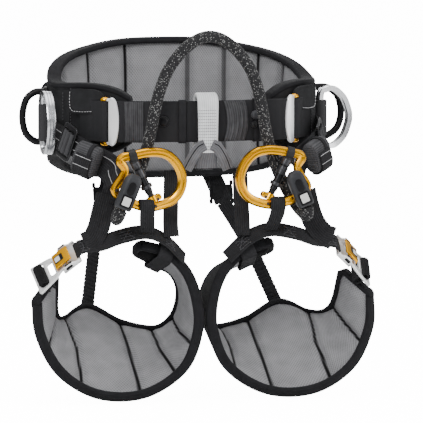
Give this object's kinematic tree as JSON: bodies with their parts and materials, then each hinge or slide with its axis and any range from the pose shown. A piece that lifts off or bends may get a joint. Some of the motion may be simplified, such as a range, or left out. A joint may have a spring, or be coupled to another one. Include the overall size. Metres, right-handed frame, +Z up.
{
  "type": "tree climbing saddle",
  "caption": "Padded waist belt and leg loops joined by webbing, with gated rings, a rope bridge, side rings, gear loops and quick leg buckles.",
  "frame": {"origin": "centre of the waist opening at the mid height of the front webbing", "axes": "+Z up as worn, the front faces -Y, +X to the viewer's right"},
  "size_m": [0.3886, 0.2643, 0.4058],
  "materials": {
    "shell_fabric": "matte woven nylon",
    "padding_mesh": "matte grey spacer mesh",
    "binding_tape": "matte woven tape",
    "webbing": "black polyester webbing",
    "rope": "black sheath with pale flecks",
    "loop_textile": "light grey webbing with stitching",
    "base_textile": "dark grey webbing",
    "elastic": "gathered black elastic",
    "gear_tube": "satin black tube",
    "sleeve_plastic": "dark grey satin",
    "lock_plastic": "black",
    "silver_alloy": "satin silver",
    "gold_alloy": "gold anodised",
    "gate_alloy": "black anodised",
    "steel": "polished steel"
  },
  "bodies": {
    "belt": {"belt_shell": "shell_fabric", "belt_padding": "padding_mesh", "belt_binding": "binding_tape", "front_webbing": "webbing", "centre_loop": "loop_textile", "loop_base": "base_textile", "loop_link": "webbing", "bridge_rope": "rope", "waist_bar_left": "gold_alloy", "waist_bar_webbing_left": "webbing", "waist_frame_left": "silver_alloy", "gear_loop_left": "gear_tube", "side_strap_left": "webbing", "webbing_roll_left": "webbing", "ring_body_left": "gold_alloy", "rope_sleeve_left": "sleeve_plastic", "inner_strap_left": "webbing", "ring_leg_strap_left": "webbing", "outer_strap_left": "webbing", "ladder_lock_left": "lock_plastic", "riser_webbing_left": "webbing", "elastic_riser_left": "elastic", "waist_bar_right": "gold_alloy", "waist_bar_webbing_right": "webbing", "waist_frame_right": "silver_alloy", "gear_loop_right": "gear_tube", "side_strap_right": "webbing", "webbing_roll_right": "webbing", "ring_body_right": "gold_alloy", "rope_sleeve_right": "sleeve_plastic", "inner_strap_right": "webbing", "ring_leg_strap_right": "webbing", "outer_strap_right": "webbing", "ladder_lock_right": "lock_plastic", "riser_webbing_right": "webbing", "elastic_riser_right": "elastic"},
    "leg_loop_left": {"leg_shell_left": "shell_fabric", "leg_padding_left": "padding_mesh", "leg_binding_left": "binding_tape", "leg_top_strap_left": "webbing", "buckle_body_left": "silver_alloy", "lever_pin_left": "steel", "buckle_tongue_left": "silver_alloy", "tongue_webbing_left": "webbing"},
    "lever_left": {"buckle_lever_left": "gold_alloy"},
    "side_ring_left": {"side_d_ring_left": "silver_alloy"},
    "gate_left": {"ring_gate_left": "gate_alloy"},
    "adjuster_left": {"side_adjuster_left": "silver_alloy"},
    "leg_loop_right": {"leg_shell_right": "shell_fabric", "leg_padding_right": "padding_mesh", "leg_binding_right": "binding_tape", "leg_top_strap_right": "webbing", "buckle_body_right": "silver_alloy", "lever_pin_right": "steel", "buckle_tongue_right": "silver_alloy", "tongue_webbing_right": "webbing"},
    "lever_right": {"buckle_lever_right": "gold_alloy"},
    "side_ring_right": {"side_d_ring_right": "silver_alloy"},
    "gate_right": {"ring_gate_right": "gate_alloy"},
    "adjuster_right": {"side_adjuster_right": "silver_alloy"}
  },
  "joints": [
    {"name": "leg_swing_left", "type": "hinge", "parent": "belt", "child": "leg_loop_left", "pos_m": [-0.0985, -0.0806, -0.075], "axis": [1, 0, 0], "range_deg": [-7, 12], "deforming": ["inner_strap_left", "ring_leg_strap_left", "outer_strap_left", "riser_webbing_left", "elastic_riser_left"]},
    {"name": "lever_open_left", "type": "hinge", "parent": "leg_loop_left", "child": "lever_left", "pos_m": [-0.15904, -0.11779, -0.14477], "axis": [-0.1229, 0.7716, 0.6241], "range_deg": [0, 24], "stiffness_Nm_per_rad": 0.05, "springref_deg": -20.05},
    {"name": "side_ring_fold_left", "type": "hinge", "parent": "belt", "child": "side_ring_left", "pos_m": [-0.1571, -0.00807, -0.0055], "axis": [0, 0, 1], "range_deg": [-95, 0]},
    {"name": "gate_turn_left", "type": "hinge", "parent": "belt", "child": "gate_left", "pos_m": [-0.0757, -0.137, -0.0616], "axis": [0.4438, 0, -0.8961], "continuous": true},
    {"name": "adjuster_slide_left", "type": "slide", "parent": "belt", "child": "adjuster_left", "axis": [0.3719, -0.8436, -0.3874], "range_m": [-0.004, 0.004]},
    {"name": "leg_swing_right", "type": "hinge", "parent": "belt", "child": "leg_loop_right", "pos_m": [0.0985, -0.0806, -0.075], "axis": [1, 0, 0], "range_deg": [-7, 12], "deforming": ["inner_strap_right", "ring_leg_strap_right", "outer_strap_right", "riser_webbing_right", "elastic_riser_right"]},
    {"name": "lever_open_right", "type": "hinge", "parent": "leg_loop_right", "child": "lever_right", "pos_m": [0.15904, -0.11779, -0.14477], "axis": [-0.1229, -0.7716, -0.6241], "range_deg": [0, 24], "stiffness_Nm_per_rad": 0.05, "springref_deg": -20.05},
    {"name": "side_ring_fold_right", "type": "hinge", "parent": "belt", "child": "side_ring_right", "pos_m": [0.1571, -0.00807, -0.0055], "axis": [0, 0, 1], "range_deg": [-98, 6]},
    {"name": "gate_turn_right", "type": "hinge", "parent": "belt", "child": "gate_right", "pos_m": [0.0757, -0.137, -0.0616], "axis": [-0.4438, 0, -0.8961], "continuous": true},
    {"name": "adjuster_slide_right", "type": "slide", "parent": "belt", "child": "adjuster_right", "axis": [-0.3719, -0.8436, -0.3874], "range_m": [-0.004, 0.004]}
  ]
}
